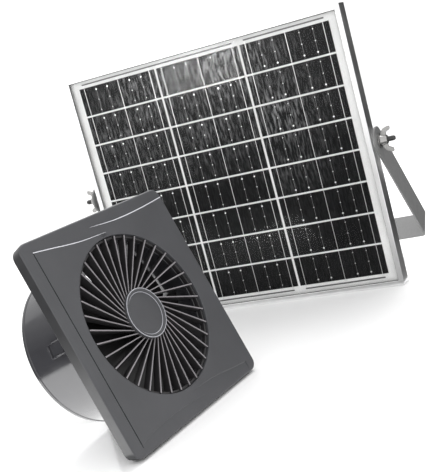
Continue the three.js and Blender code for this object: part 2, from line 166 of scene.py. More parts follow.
def lofted(rings, closed=False):
    """A shell through rings of points, either closed on itself or with a cap at each end."""
    size = len(rings[0])
    verts = [p for ring in rings for p in ring]
    faces = []
    pairs = range(len(rings) if closed else len(rings) - 1)
    for k in pairs:
        a, b = k * size, (k + 1) % len(rings) * size
        for i in range(size):
            j = (i + 1) % size
            faces.append((a + i, a + j, b + j, b + i))
    if not closed:
        faces += [tuple(range(size))[::-1], tuple(range(len(verts) - size, len(verts)))]
    return verts, faces


def extruded(outline, z0, z1):
    return lofted([[(x, y, z) for x, y in outline] for z in (z0, z1)])


def crosswise(outline, y0, y1):
    """An outline in x and z, extruded along y."""
    return lofted([[(x, y, z) for x, z in outline] for y in (y0, y1)])


def turned(profile, segments=64):
    """A closed profile of (radius, z) turned about z."""
    verts, rings, faces = [], [], []
    for radius, z in profile:
        if radius < 1e-6:
            rings.append([len(verts)] * segments)
            verts.append((0, 0, z))
        else:
            rings.append([len(verts) + i for i in range(segments)])
            verts += [(x, y, z) for x, y in circle(radius, segments)]
    for lower, upper in zip(rings, rings[1:] + rings[:1]):
        for i in range(segments):
            j = (i + 1) % segments
            face = tuple(dict.fromkeys((lower[i], lower[j], upper[j], upper[i])))
            if len(face) > 2:
                faces.append(face)
    return verts, faces


def tube(inside, outside, low, high, radii, segments=64):
    """A turned ring from one height to another; the radii round its section's corners."""
    corners = ((inside, low), (outside, low), (outside, high), (inside, high))
    return turned(filleted([(*corner, radius) for corner, radius in zip(corners, radii)]), segments)


def block(low, high):
    (x0, y0, z0), (x1, y1, z1) = low, high
    return extruded([(x0, y0), (x1, y0), (x1, y1), (x0, y1)], z0, z1)


def moved(shell, matrix):
    return ([tuple(matrix @ Vector(v)) for v in shell[0]], *shell[1:])


def painted(shell, number):
    """The shell with one material number on all its faces."""
    return shell[0], shell[1], [number] * len(shell[1])


def banded(shell, size, chosen, number):
    """A lofted shell with a material number on the faces that start at some points of its outline."""
    points, faces = shell
    sides = len(faces) - 2  # the last two faces are the caps
    return points, faces, [number if i % size in chosen and i < sides else 0 for i in range(len(faces))]


def spun(shell, degrees):
    return moved(shell, Matrix.Rotation(radians(degrees), 4, "Z"))


def shifted(shell, x, y, z):
    return moved(shell, Matrix.Translation((x, y, z)))


# ---- objects
def settle(obj):
    """Applies an object's modifiers to its mesh."""
    bpy.context.view_layer.update()
    graph = bpy.context.evaluated_depsgraph_get()
    mesh = bpy.data.meshes.new_from_object(obj.evaluated_get(graph))
    obj.modifiers.clear()
    obj.data = mesh


def mesh_object(name, shells, place, materials):
    """One object from closed shells: (points, faces) or (points, faces, material number per face)."""
    verts, faces, slots = [], [], []
    for points, shell_faces, *numbers in shells:
        base = len(verts)
        verts += [place @ Vector(v) for v in points]
        faces += [tuple(base + i for i in face) for face in shell_faces]
        slots += numbers[0] if numbers else [0] * len(shell_faces)
    mesh = bpy.data.meshes.new(name)
    mesh.from_pydata(verts, [], faces)
    mesh.polygons.foreach_set("material_index", slots)
    work = bmesh.new()
    work.from_mesh(mesh)
    bmesh.ops.recalc_face_normals(work, faces=work.faces)
    work.to_mesh(mesh)
    work.free()
    for material in materials:
        mesh.materials.append(material)
    obj = bpy.data.objects.new(name, mesh)
    bpy.context.scene.collection.objects.link(obj)
    return obj


def subtract(obj, shells, materials=()):
    """Cuts closed shells out of an object."""
    cutter = mesh_object("cutter", shells, Matrix.Identity(4), materials)
    modifier = obj.modifiers.new("cut", "BOOLEAN")
    modifier.operation = "DIFFERENCE"
    modifier.solver = "EXACT"
    modifier.use_self = True
    modifier.object = cutter
    modifier.material_mode = "TRANSFER" if materials else "INDEX"
    settle(obj)
    bpy.data.objects.remove(cutter)


def smooth(obj, angle=35):
    """Smooth shading that keeps edges sharper than an angle."""
    obj.data.shade_smooth()
    obj.data.set_sharp_from_angle(angle=radians(angle))
    modifier = obj.modifiers.new("normals", "WEIGHTED_NORMAL")
    modifier.keep_sharp = True
    settle(obj)


def piece(name, shells, place, materials, bevel=0.0, cuts=(), replaces=(), body="kit_base"):
    """Builds one piece: shells, cuts, softened edges and smooth shading, riding on a body."""
    if not isinstance(materials, (list, tuple)):
        materials = [materials]
    obj = mesh_object(name, shells, place, materials)
    if cuts:
        subtract(obj, [moved(cut, place) for cut in cuts])
    if bevel:
        modifier = obj.modifiers.new("bevel", "BEVEL")
        modifier.width = bevel * MM
        modifier.segments = 2
        modifier.limit_method = "ANGLE"
        modifier.angle_limit = radians(35)
        settle(obj)
    smooth(obj)
    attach(obj, body)
    if replaces:
        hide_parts(*replaces)


# ---- materials
class Surface:
    """A Principled material whose patterns read the object's own coordinates."""

    def __init__(self, name, roughness=0.5, metallic=0.0, **settings):
        self.material = bpy.data.materials.new(name)
        self.material.use_nodes = True
        self.tree = self.material.node_tree
        self.shader = self.tree.nodes["Principled BSDF"]
        self.place = self.node("ShaderNodeTexCoord").outputs["Object"]
        self.shader.inputs["Roughness"].default_value = roughness
        self.shader.inputs["Metallic"].default_value = metallic
        for key, value in settings.items():
            self.shader.inputs[key.replace("_", " ")].default_value = value
        self.heights = []

    def node(self, kind, **values):
        made = self.tree.nodes.new(kind)
        for key, value in values.items():
            setattr(made, key, value)
        return made

    def link(self, source, target):
        self.tree.links.new(source, target)

    def noise(self, size, stretch=(1, 1, 1), detail=3.0, roughness=0.5):
        """Noise with features about size mm across, stretched along the axes by a factor each."""
        mapping = self.node("ShaderNodeMapping")
        mapping.inputs["Scale"].default_value = [1 / (size * MM * s) for s in stretch]
        texture = self.node("ShaderNodeTexNoise")
        texture.inputs["Scale"].default_value = 1.0
        texture.inputs["Detail"].default_value = detail
        texture.inputs["Roughness"].default_value = roughness
        self.link(self.place, mapping.inputs["Vector"])
        self.link(mapping.outputs["Vector"], texture.inputs["Vector"])
        return texture.outputs["Fac"]

    def scaled(self, value, low, high, at=(0.3, 0.7)):
        """A value spread from low to high between two places."""
        spread = self.node("ShaderNodeMapRange")
        for key, number in zip(("From Min", "From Max", "To Min", "To Max"), (*at, low, high)):
            spread.inputs[key].default_value = number
        self.link(value, spread.inputs["Value"])
        return spread.outputs["Result"]

    def colour(self, factor, first, second, at=(0.3, 0.7)):
        """Base colour from first to second as factor rises."""
        ramp = self.node("ShaderNodeValToRGB")
        for stop, place, value in zip(ramp.color_ramp.elements, at, (first, second)):
            stop.position = place
            stop.color = (*value, 1)
        self.link(factor, ramp.inputs["Fac"])
        self.link(ramp.outputs["Color"], self.shader.inputs["Base Color"])

    def gloss(self, factor, low, high):
        """Roughness from low to high as factor rises."""
        self.link(self.scaled(factor, low, high), self.shader.inputs["Roughness"])

    def relief(self, height, depth, strength=1.0):
        """Bump of a depth in mm; a second call adds to the first."""
        bump = self.node("ShaderNodeBump")
        bump.inputs["Strength"].default_value = strength
        bump.inputs["Distance"].default_value = depth * MM
        self.link(height, bump.inputs["Height"])
        if self.heights:
            self.link(self.heights[-1], bump.inputs["Normal"])
        self.heights.append(bump.outputs["Normal"])
        self.link(bump.outputs["Normal"], self.shader.inputs["Normal"])


def shade(value, tint=(1, 1, 1)):
    return tuple(value * t for t in tint)


COOL = (0.97, 0.98, 1.06)
WARM = (1.03, 0.97, 1.02)


def moulded(name, value, roughness, tint=COOL, grain=0.35, depth=0.02, **settings):
    """Moulded plastic: a fine spark-eroded grain, slow colour drift and uneven gloss."""
    made = Surface(name, roughness, **settings)
    made.colour(made.noise(38, detail=5), shade(value * 0.93, tint), shade(value * 1.08, tint))
    made.gloss(made.noise(9, detail=6, roughness=0.65), roughness - 0.05, roughness + 0.05)
    made.relief(made.noise(grain, detail=2), depth, 0.5)
    made.relief(made.noise(30, detail=1), 0.12, 0.25)
    return made.material


def drawn_metal(name, value, roughness, along, metallic=1.0):
    """Extruded or rolled metal: fine lines along one axis, with faint handling marks."""
    made = Surface(name, roughness, metallic)
    lines, marks = ([stretch if axis == along else 1 for axis in "xyz"] for stretch in (60, 4))
    made.colour(made.noise(26, detail=6, roughness=0.6), shade(value * 0.94), shade(value))
    made.gloss(made.noise(14, marks, detail=7), roughness - 0.06, roughness + 0.08)
    made.relief(made.noise(0.5, lines, detail=4), 0.012, 0.5)
    return made.material


def plated(name, value, roughness, tint=(1, 1, 1), metallic=1.0, spangle=2.2):
    """Plated or painted steel with a soft spangle and small scuffs."""
    made = Surface(name, roughness, metallic)
    made.colour(made.noise(spangle, detail=4, roughness=0.6), shade(value * 0.9, tint),
                shade(value * 1.06, tint))
    made.gloss(made.noise(11, detail=8, roughness=0.7), roughness - 0.08, roughness + 0.1)
    made.relief(made.noise(0.6, detail=3), 0.012, 0.5)
    return made.material


# Middles of the painted reflections, pale upright patches on the cells, in x and z, how far they reach and
# how strong they are.
REFLECTION_PATCHES = ((0.025, 0.302, 0.075, 1.0), (-0.075, 0.285, 0.075, 0.6), (0.0, 0.235, 0.09, 0.38),
          (-0.12, 0.235, 0.1, 0.35), (0.085, 0.225, 0.07, 0.6), (0.075, 0.29, 0.06, 0.5),
          (0.09, 0.17, 0.06, 0.3))


def painted_reflections(made):
    """Pale upright streaks of painted reflection on the cells, as a factor."""
    total = None
    for x, z, size, strength in REFLECTION_PATCHES:
        away = made.node("ShaderNodeVectorMath", operation="MULTIPLY_ADD")
        away.inputs[1].default_value = (1, 0, 1)
        away.inputs[2].default_value = (-x, 0, -z)
        made.link(made.place, away.inputs[0])
        length = made.node("ShaderNodeVectorMath", operation="LENGTH")
        made.link(away.outputs["Vector"], length.inputs[0])
        spot = made.scaled(length.outputs["Value"], strength, 0, (0, size))
        if total:
            both = made.node("ShaderNodeMath", operation="MAXIMUM")
            made.link(total, both.inputs[0])
            made.link(spot, both.inputs[1])
            spot = both.outputs["Value"]
        total = spot
    streaks = made.scaled(made.noise(2.6, (1, 1, 5), detail=4, roughness=0.6), 0, 1, (0.47, 0.68))
    factor = made.node("ShaderNodeMath", operation="MULTIPLY")
    made.link(total, factor.inputs[0])
    made.link(streaks, factor.inputs[1])
    return factor.outputs["Value"]


FINGER_PITCH = 1.9


def silicon():
    """Dark cells with faint screen-printed fingers, a slow drift of the coating and pale patches of painted
    reflection.
    """
    made = Surface("silicon", 0.22, Specular_IOR_Level=0.1)
    drift = made.noise(2.2, (1, 1, 6), detail=5, roughness=0.65)
    made.colour(drift, (0.0065, 0.0066, 0.0070), (0.024, 0.0243, 0.025), (0.35, 0.75))
    coating = made.shader.inputs["Base Color"].links[0].from_socket
    mix = made.node("ShaderNodeMix", data_type="RGBA")  # its colours are inputs 6 and 7 and output 2
    made.link(painted_reflections(made), mix.inputs["Factor"])
    made.link(coating, mix.inputs[6])
    # painted reflection: a pale grey laid over the coating in the patches
    mix.inputs[7].default_value = (0.5, 0.5, 0.51, 1)
    made.link(mix.outputs[2], made.shader.inputs["Base Color"])
    made.gloss(made.noise(2.5, (1, 1, 4), detail=5), 0.16, 0.3)
    wave = made.node("ShaderNodeTexWave", bands_direction="Z")
    wave.inputs["Scale"].default_value = 1 / (FINGER_PITCH * MM) / 3.2  # about 3.2 waves to a unit
    made.link(made.place, wave.inputs["Vector"])
    made.relief(wave.outputs["Fac"], 0.004, 0.35)
    made.relief(made.noise(2.6, (1, 1, 4), detail=4, roughness=0.6), 0.22, 0.8)
    return made.material


def pane():
    """Clear tempered glass: it lets light through and mirrors a little, more at a slant."""
    made = Surface("tempered_glass")
    made.tree.nodes.remove(made.shader)
    made.shader = made.node("ShaderNodeBsdfGlossy")
    made.shader.inputs["Roughness"].default_value = 0.04
    made.relief(made.noise(9, (1, 1, 14 / 9), detail=1.5), 0.05, 0.4)
    clear = made.node("ShaderNodeBsdfTransparent")
    clear.inputs["Color"].default_value = (0.995, 0.996, 0.995, 1)
    fresnel = made.node("ShaderNodeFresnel")
    fresnel.inputs["IOR"].default_value = 1.12
    mix = made.node("ShaderNodeMixShader")
    made.link(fresnel.outputs["Fac"], mix.inputs["Fac"])
    made.link(clear.outputs["BSDF"], mix.inputs[1])
    made.link(made.shader.outputs["BSDF"], mix.inputs[2])
    made.link(mix.outputs["Shader"], made.tree.nodes["Material Output"].inputs["Surface"])
    return made.material


SHELL = moulded("shell_plastic", 0.066, 0.42)
# painted highlight: a pale copy of the shell plastic for the creases' narrow flanks and the hub's rims
SHELL_HIGHLIGHT = moulded("shell_painted_highlight", 0.5, 0.35)
# painted shade: a darker copy of the shell plastic for the drafted side wall
SHELL_SIDE_SHADE = moulded("shell_side_painted_shade", 0.03, 0.4)
COLLAR_FINISH = moulded("collar_plastic", 0.05, 0.17, tint=(0.97, 0.97, 1.08), depth=0.004,
                        Specular_IOR_Level=0.7)
# painted shade and painted highlight: two copies of the grille plastic, dark for the vanes' sides and pale
# for their front edges
VANE_SIDE_SHADE = moulded("grille_plastic", 0.026, 0.5, tint=WARM, depth=0.01)
VANE_EDGE_HIGHLIGHT = moulded("grille_edge_painted_highlight", 0.24, 0.34, tint=WARM, depth=0.01)
BLACK = moulded("black_plastic", 0.012, 0.45)
HARD_BLACK = moulded("rotor_plastic", 0.009, 0.42, tint=WARM)
RUBBER = moulded("rubber", 0.01, 0.75, grain=0.8, depth=0.04)
WHITE = moulded("white_plastic", 0.8, 0.4, tint=(1, 1, 1))
SHEET = moulded("backsheet_film", 0.94, 0.38, tint=(1, 1, 0.995), grain=0.5)
# painted shade: a darker copy of the white film for its rear face, where the overhead softbox lights it
# strongly
SHEET_REAR_SHADE = moulded("backsheet_rear_painted_shade", 0.48, 0.4, tint=(1, 1, 0.99), grain=0.5)
RAIL_X = drawn_metal("anodised_level", 0.9, 0.36, "x")
RAIL_Z = drawn_metal("anodised_upright", 0.9, 0.36, "z")
# painted shade: a dark line along the rails' outer rear edge
RAIL_EDGE_SHADE = plated("anodised_edge_painted_shade", 0.4, 0.4)
STRAP = plated("bracket_steel", 0.22, 0.42, metallic=0.3, spangle=1.6)
BRIGHT = plated("zinc_plate", 0.42, 0.26, tint=(1, 0.99, 0.97))
BOLT_STEEL = plated("bolt_steel", 0.1, 0.35)
MOTOR_STEEL = plated("motor_steel", 0.16, 0.34)
COPPER = plated("copper_winding", 0.5, 0.32, tint=(1.5, 0.75, 0.4))
MAGNET = plated("ferrite", 0.05, 0.5, metallic=0.4)
TINNED = drawn_metal("tinned_ribbon", 0.95, 0.34, "z")
FINE_TINNED = drawn_metal("fine_ribbon", 0.3, 0.4, "z")
BUS = drawn_metal("bus_ribbon", 0.17, 0.45, "x", metallic=0.8)
# a sealant bead, painted dark to stand for the shadow line under the rails' lip
SEALANT_SHADOW_LINE = moulded("sealant", 0.09, 0.6, tint=(1, 1, 1), grain=0.8)
SILICON = silicon()
GLASS = pane()

# ---- fan: front cover
def ring(points, z):
    return [(x, y, z) for x, y in points]


def on_circle(radius):
    """A circle whose points lie on the same rays as those of the square outline."""
    return [(radius * x / hypot(x, y), radius * y / hypot(x, y)) for x, y in rounded_square(HALF, CORNER)]


def cover_shell():
    """The face, its rounded rim, the drafted side wall and the lip round the opening, as one closed skin."""
    opening = GRILLE + 0.4
    edge = 1.7
    rings = [(on_circle(opening), -9.5), (on_circle(opening), -0.9), (on_circle(opening + 0.25), -0.25),
             (on_circle(opening + 0.9), 0)]
    steps = 5
    for k in range(steps + 1):
        a = k / steps * pi / 2
        size = HALF - edge + edge * sin(a)
        rings.append((rounded_square(size, CORNER - edge + edge * sin(a)), -edge * (1 - cos(a))))
    rear = HALF - DRAFT
    rings += [(rounded_square(rear + 0.1, CORNER), 0.5 - RIM), (rounded_square(rear - 0.3, CORNER), -RIM),
              (rounded_square(rear - WALL, CORNER - WALL), -RIM),
              (rounded_square(HALF - WALL, CORNER - WALL), -WALL),
              (on_circle(opening + WALL), -WALL), (on_circle(opening + WALL), -9.5)]
    points, faces = lofted([ring(*r) for r in rings], closed=True)
    size = len(rings[0][0])
    wall = (steps + 4, steps + 5)  # the drafted side and its lower edge
    # painted shade: the faces of the drafted side wall take material 2, the darker shell copy
    return points, faces, [2 if i // size in wall else 0 for i in range(len(faces))]


def style_line(points, fades, width=11.0, steps=40):
    """The wedge that cuts a crease: a narrow flank along the line, painted with a highlight, and a long
    shallow one above it.
    """
    def at(t):
        place = t * (len(points) - 1)
        k = min(int(place), len(points) - 2)
        p0, p1, p2, p3 = (Vector(points[min(max(k + i, 0), len(points) - 1)]) for i in (-1, 0, 1, 2))
        u = place - k
        return 0.5 * (2 * p1 + (p2 - p0) * u + (2 * p0 - 5 * p1 + 4 * p2 - p3) * u * u
                      + (3 * p1 - p0 - 3 * p2 + p3) * u ** 3)

    rings = []
    for k in range(steps + 1):
        t = k / steps
        here = at(t)
        along = (at(min(t + 0.01, 1)) - at(max(t - 0.01, 0))).normalized()
        up = Vector((-along.y, along.x))
        fade = min(1, (t if fades == "start" else 1 - t) * 2.5)
        flank = 0.06 + 0.84 * fade ** 0.7
        corners = [(-0.02, 0.4), (0, 0), (flank, -0.6 * flank), (width * (0.25 + 0.75 * fade), 0.02),
                   (width, 0.4)]
        rings.append([(*(here + up * u), z) for u, z in corners])
    # painted highlight: the narrow flank's faces get material 1, the pale shell copy
    return banded(lofted(rings), len(corners), (1,), 1)


def front_cover():
    """The cover with a groove down its left side and two creases above and two below the grille."""
    groove = -87.3
    first = style_line([(groove, 88.8), (-66, 86), (-33, 81.6), (4, 80)], "end")
    upper, lower = (style_line([(-12, 89.6), (24, 86.6), (60, 86.8), end], "start", width=9.0)
                    for end in ((HALF + 1, 89), (-groove, 90)))
    cuts = [block((groove - 0.5, -93, -1.1), (groove + 0.5, 88.9, 1)), first, upper]
    cuts += [spun(painted(line, 0), 180) for line in (first, lower)]
    cover = mesh_object("front_cover_skin", [cover_shell()], FAN, [SHELL, SHELL_HIGHLIGHT, SHELL_SIDE_SHADE])
    for cut in cuts:
        # the cut faces take the cutters' materials, so the upper creases' narrow flanks show the painted
        # highlight; the lower creases stay plain
        subtract(cover, [moved(cut, FAN)], [SHELL, SHELL_HIGHLIGHT])
    smooth(cover, 22)
    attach(cover, "kit_base")
    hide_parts("front_cover")


# ---- fan: grille and hub
def vane(start):
    """One straight vane: a thin wall with a rounded front edge, dished towards the hub."""
    inner, outer = HUB - 1, GRILLE - 0.4
    line = start - asin(VANE_OFFSET / outer)
    steps = 16
    rings = []
    for k in range(steps + 1):
        share = k / steps
        r = outer + (inner - outer) * share
        angle = start + acos(VANE_OFFSET / outer) - acos(VANE_OFFSET / r)
        front = GRILLE_FRONT - DISH * share
        half = 0.75 - 0.28 * share
        back = front - 9.0 + 2.0 * share
        section = [(half, front - half), (0.72 * half, front - 0.3 * half), (0, front),
                   (-0.72 * half, front - 0.3 * half), (-half, front - half), (-0.7 * half, back),
                   (0.7 * half, back)]
        here = Vector((r * cos(angle), r * sin(angle), 0))
        side = Vector((-sin(line), cos(line), 0))
        rings.append([tuple(here + side * u + Vector((0, 0, z))) for u, z in section])
    # painted highlight on the front edge's faces, painted shade on the rest of the vane
    return banded(lofted(rings), len(section), (0, 1, 2, 3), 1)


def louvre_grille():
    """The outer ring, the vanes and the cup under the hub's disc."""
    outline = [(GRILLE, -2.6, 0.4), (GRILLE, -9.4, 0.3), (GRILLE - 2.1, -9.4, 0.3), (GRILLE - 2.1, -2.6, 0.6)]
    seat = GRILLE_FRONT - DISH
    cup = [(0, seat - 8), (HUB - 2, seat - 8), (HUB - 2, seat - 2), (HUB + 0.4, seat - 2),
           (HUB + 0.9, seat - 0.8), (HUB + 0.5, seat), (0, seat)]
    shells = [turned(filleted(outline), 160), turned(cup, 96)]
    shells += [vane(radians(1 + 360 / VANES * i)) for i in range(VANES)]
    # the ring and the cup take the dark painted-shade copy of the grille plastic as well
    piece("louvre_grille_vanes", shells, FAN, [VANE_SIDE_SHADE, VANE_EDGE_HIGHLIGHT],
          replaces=["louvre_grille"])


def hub_cap():
    """The hub's disc, slightly domed, inside a raised rim, with two thin rings of painted highlight on the
    rim's edges.
    """
    base = GRILLE_FRONT + 0.3 - DISH
    profile = [(0, base), (HUB, base)]
    profile += filleted([(HUB - 3.4, base + 1.2, 0.4), (HUB - 2.6, base + 2.7, 0.5),
                         (HUB - 0.6, base + 2.7, 0.9), (HUB, base, 0)], 5)[::-1]
    profile += [(HUB - 5, base + 1.3), (HUB * 0.5, base + 1.55), (0, base + 1.65)]
    rims = [turned([(r + x, z + y) for x, y in circle(0.35, 10)], 128)
            for r, z in ((HUB - 0.35, base + 2.35), (HUB - 3.45, base + 1.1))]
    # painted highlight: the two thin rings take the pale shell copy
    shells = [turned(profile, 128), *(painted(rim, 1) for rim in rims)]
    piece("hub_cap_disc", shells, FAN, [SHELL, SHELL_HIGHLIGHT], replaces=["hub_cap"])


# ---- fan: duct housing and what is on it
def radial(angle, z):
    """The frame with x along the axis, and z outwards through the collar at an angle and a depth."""
    turn = Matrix.Rotation(radians(angle), 4, "Z")
    return turn @ Matrix.Translation((COLLAR, 0, z)) @ Matrix.Rotation(pi / 2, 4, "Y")


GROMMET = radial(62, -52)


def duct_housing():
    """The flange behind the cover, the collar, the gussets between them and a boss at each corner."""
    half = HALF - DRAFT - WALL - 0.5
    back = 0.1 - RIM
    plate = [(rounded_square(half, 6), back), (rounded_square(half, 6), back + 2.5),
             (on_circle(COLLAR_INSIDE), back + 2.5), (on_circle(COLLAR_INSIDE), back)]
    flange = lofted([ring(*r) for r in plate], closed=True)
    rear, front = COLLAR_REAR, -7.2
    collar = filleted([(COLLAR_INSIDE, rear, 0.8), (COLLAR, rear, 0.9), (COLLAR, rear + 3.2, 0.5),
                       (COLLAR - 0.6, rear + 3.8, 0.4), (COLLAR - 0.6, front, 0.6),
                       (COLLAR_INSIDE, front, 0.6)])
    ribs = []
    for i in range(12):
        gusset = [(COLLAR - 1, back + 0.2), (COLLAR + 8, back + 0.2), (COLLAR - 1, back - 8)]
        ribs.append(spun(crosswise(gusset, -0.6, 0.6), 15 + 30 * i))
    corner = half - 7
    boss = tube(2.3, 5, back - 1.2, back + 1, (0, 0.5, 0, 0), 32)
    places = [(x * corner, y * corner) for x in (-1, 1) for y in (-1, 1)]
    shells = [flange, turned(collar, 200), *ribs, *(shifted(boss, x, y, 0) for x, y in places)]
    cuts = [extruded(circle(2.3, 24, x, y), -RIM - 4, -RIM + 6) for x, y in places]
    cuts.append(moved(extruded(circle(4.2, 32), -6, 5), GROMMET))
    piece("duct_housing_shell", shells, FAN, COLLAR_FINISH, cuts=cuts,
          replaces=["duct_housing"])


def wall_clips():
    """The clip at each side of the collar: a bowed tab between two cheeks, with a hook at its rear end."""
    for name, angle in (("left", 171), ("right", -9)):
        at = Matrix.Rotation(radians(angle), 4, "Z")
        r = COLLAR - 0.3
        tab = lofted([[(r + d, sway * r * 0.094, z) for sway, d in
                       ((-1, -0.3), (-1, 1.2), (-0.5, 1.6), (0, 1.75), (0.5, 1.6), (1, 1.2), (1, -0.3),
                        (0, 0.02))]
                      for z in (-53, -37)])
        shells = [tab]
        for y in (-6.2, 6.2):
            outline = filleted([(r - 0.2, -53, 0), (r + 3, -53, 0.6), (r + 3, -46, 1.0),
                                (r + 1.2, -36, 0.5), (r - 0.2, -36, 0)])
            shells.append(crosswise(outline, y - 0.7, y + 0.7))
        hook = filleted([(r + 0.5, -53.4, 0), (r + 3.4, -53.4, 0.5), (r + 3.4, -51.6, 0.5),
                         (r + 0.5, -50, 0)])
        shells.append(crosswise(hook, -5.6, 5.6))
        piece("wall_clip_tab_" + name, [moved(s, at) for s in shells], FAN, COLLAR_FINISH,
              bevel=0.2, replaces=["wall_clip_" + name])


def lead_grommet():
    profile = filleted([(2.4, -3.4, 0.4), (3.9, -3.4, 0.4), (3.9, 0.2, 0), (6.4, 0.2, 0.5), (6.0, 2.2, 0.8),
                        (4.2, 2.4, 0.4), (3.4, 1.4, 0.3), (2.4, 1.2, 0.3)])
    piece("lead_grommet_ring", [turned(profile, 48)], FAN @ GROMMET, RUBBER,
          replaces=["lead_grommet"])


# ---- fan: rotor and motor
ROTOR_FRONT, ROTOR_REAR, ROTOR_HUB, ROTOR_TIP = -15.0, -35.0, 21.0, 70.0
BLADES = 7
BLADE_PHASE = 15
ROOT_PITCH, TIP_PITCH = 36, 14.5
ROOT_CHORD, TIP_CHORD = 35, 74
SKEW = 0.28  # the angle in radians from a blade's root to its tip
CAN_REAR = -61.0
SCREW_CIRCLE = 17
MOTOR = reach("motor_can", FAN)[1].x
MOTOR_FRONT = reach("motor_can", FAN)[1].z
CAP_LOW = reach("motor_rear_cap", FAN)[0].z
SPIDER_LOW, SPIDER_HIGH = reach("motor_bracket", FAN)


def blade():
    """A twisted, cambered blade with a rounded leading edge and a thin trailing edge."""
    rows, columns = 12, 12
    rings = []
    for k in range(rows + 1):
        u = k / rows
        r = ROTOR_HUB - 2 + (ROTOR_TIP - ROTOR_HUB + 2) * u
        pitch = radians(ROOT_PITCH + (TIP_PITCH - ROOT_PITCH) * u)
        chord = (ROOT_CHORD + (TIP_CHORD - ROOT_CHORD) * u) * (1 - 0.1 * max(0, u - 0.8) / 0.2)
        section = []
        for side in (1, -1):
            for i in range(columns + (side > 0)):
                v = side * (i / columns - 0.5)
                thick = 0.95 * (1 - (2 * v) ** 4) ** 0.5 * (1.1 - 0.5 * (v + 0.5))
                section.append((v * chord, 3 * (1 - 4 * v * v) + side * thick))
        points = []
        for along, bow in section:
            angle = (along * cos(pitch) + bow * sin(pitch)) / r + SKEW * u
            z = (ROTOR_FRONT + ROTOR_REAR) / 2 + along * sin(pitch) - bow * cos(pitch)
            points.append((r * cos(angle), r * sin(angle), z))
        rings.append(points)
    return lofted(rings)


def impeller():
    """The wheel with its blades, and the nut that holds it on the shaft."""
    front, rear = ROTOR_FRONT, ROTOR_REAR
    hub = filleted([(2.3, front, 0), (ROTOR_HUB, front, 4.5), (ROTOR_HUB, rear, 0.5),
                    (ROTOR_HUB - 2, rear, 0.5),
                    (ROTOR_HUB - 2, front - 4, 1), (6, front - 4, 1), (6, rear + 2, 0.5),
                    (2.3, rear + 2, 0)], 6)
    shells = [turned(hub, 96)] + [spun(blade(), BLADE_PHASE + 360 / BLADES * i) for i in range(BLADES)]
    piece("impeller_wheel", shells, FAN, HARD_BLACK, replaces=["impeller"], body="rotor")
    low, high = reach("impeller_nut", FAN)
    nut = extruded(circle(high.y, 6), low.z, high.z)
    piece("impeller_lock_nut", [nut], FAN, BRIGHT, bevel=0.4,
          cuts=[extruded(circle(2.3, 32), low.z - 1, high.z + 1)], replaces=["impeller_nut"], body="rotor")


def screw_places():
    """Middles of the three screws that hold the motor on its bracket."""
    angles = [radians(30 + 120 * i) for i in range(3)]
    return [(SCREW_CIRCLE * cos(a), SCREW_CIRCLE * sin(a)) for a in angles]


def motor():
    """The steel can, open behind, and the plastic cap that closes it."""
    can = filleted([(6.5, MOTOR_FRONT, 0.4), (MOTOR, MOTOR_FRONT, 2.4), (MOTOR, CAN_REAR, 0.4),
                    (MOTOR - 1.2, CAN_REAR, 0.3),
                    (MOTOR - 1.2, MOTOR_FRONT - 1.4, 1.2), (6.5, MOTOR_FRONT - 1.4, 0.3)], 6)
    piece("motor_can_shell", [turned(can, 96)], FAN, MOTOR_STEEL, replaces=["motor_can"])
    cap = tube(4.5, MOTOR, CAP_LOW, CAN_REAR - 0.3, (0.3, 0.8, 0.5, 0.3), 96)
    holes = [extruded(circle(1.9, 24, x, y), CAP_LOW - 2, CAN_REAR + 1) for x, y in screw_places()]
    piece("motor_rear_cover", [cap], FAN, BLACK, cuts=holes, replaces=["motor_rear_cap"])


def motor_bracket():
    """A ring in the collar joined to the motor's seat by four ribbed arms."""
    rear, front = SPIDER_LOW.z, SPIDER_HIGH.z
    band = tube(69.8, 72.3, rear, front, [0.6] * 4, 160)
    seat = filleted([(5.5, rear, 0.4), (MOTOR - 4, rear, 0.5), (MOTOR - 3, rear + 1, 0.5),
                     (MOTOR + 2, rear + 1, 0.8),
                     (MOTOR + 2, front - 1.4, 0.4), (5.5, front - 1.4, 0.3)], 4)
    shells = [band, turned(seat, 96)]
    for i in range(4):
        arm = block((MOTOR, -2.2, rear + 0.6), (70.6, 2.2, front - 0.4))
        rib = block((MOTOR - 3, -0.8, rear), (70.8, 0.8, front - 0.6))
        shells += [spun(arm, 45 + 90 * i), spun(rib, 45 + 90 * i)]
    holes = [extruded(circle(1.9, 24, x, y), rear - 1, front + 1) for x, y in screw_places()]
    piece("motor_bracket_spider", shells, FAN, BLACK, cuts=holes,
          replaces=["motor_bracket"])


def screw(head, height, shank, length, slot_width=0.9):
    """A round-headed screw with a cross recess, head below z = 0."""
    profile = [(0, -height)] + filleted([(head, -height, 0.9 * height), (head, 0, 0), (shank, 0, 0),
                                         (shank, length, 0.4)])
    shell = turned(profile + [(0, length)], 32)
    arm = head * 0.55
    cross = [block((-arm, -slot_width / 2, -height - 1), (arm, slot_width / 2, -height * 0.45)),
             block((-slot_width / 2, -arm, -height - 1), (slot_width / 2, arm, -height * 0.45))]
    return shell, cross


def motor_screws():
    shell, cross = screw(3, 2, 1.5, 7)
    for i, (x, y) in enumerate(screw_places()):
        name = "motor_screw_" + str(i + 1)
        at = FAN @ Matrix.Translation((x, y, SPIDER_LOW.z - 0.3))
        piece(name + "_pan_head", [shell], at, BRIGHT, cuts=cross, replaces=[name])


# ---- panel: frame
def rail_section():
    """Inward and rearward corners of the extrusion: lip, glass channel, wall and rear flange."""
    return filleted([(0, 0, 0.7), (LIP, 0, 0.5), (LIP, 1.4, 0.2), (1.5, 1.4, 0.2), (1.5, 6.2, 0.2),
                     (LIP, 6.2, 0.3),
                     (LIP, 7.6, 0.3), (1.5, 7.6, 0.4), (1.5, DEPTH - 1.4, 0.4), (12, DEPTH - 1.4, 0.3),
                     (12, DEPTH, 0.3), (0, DEPTH, 0.8)], 4)


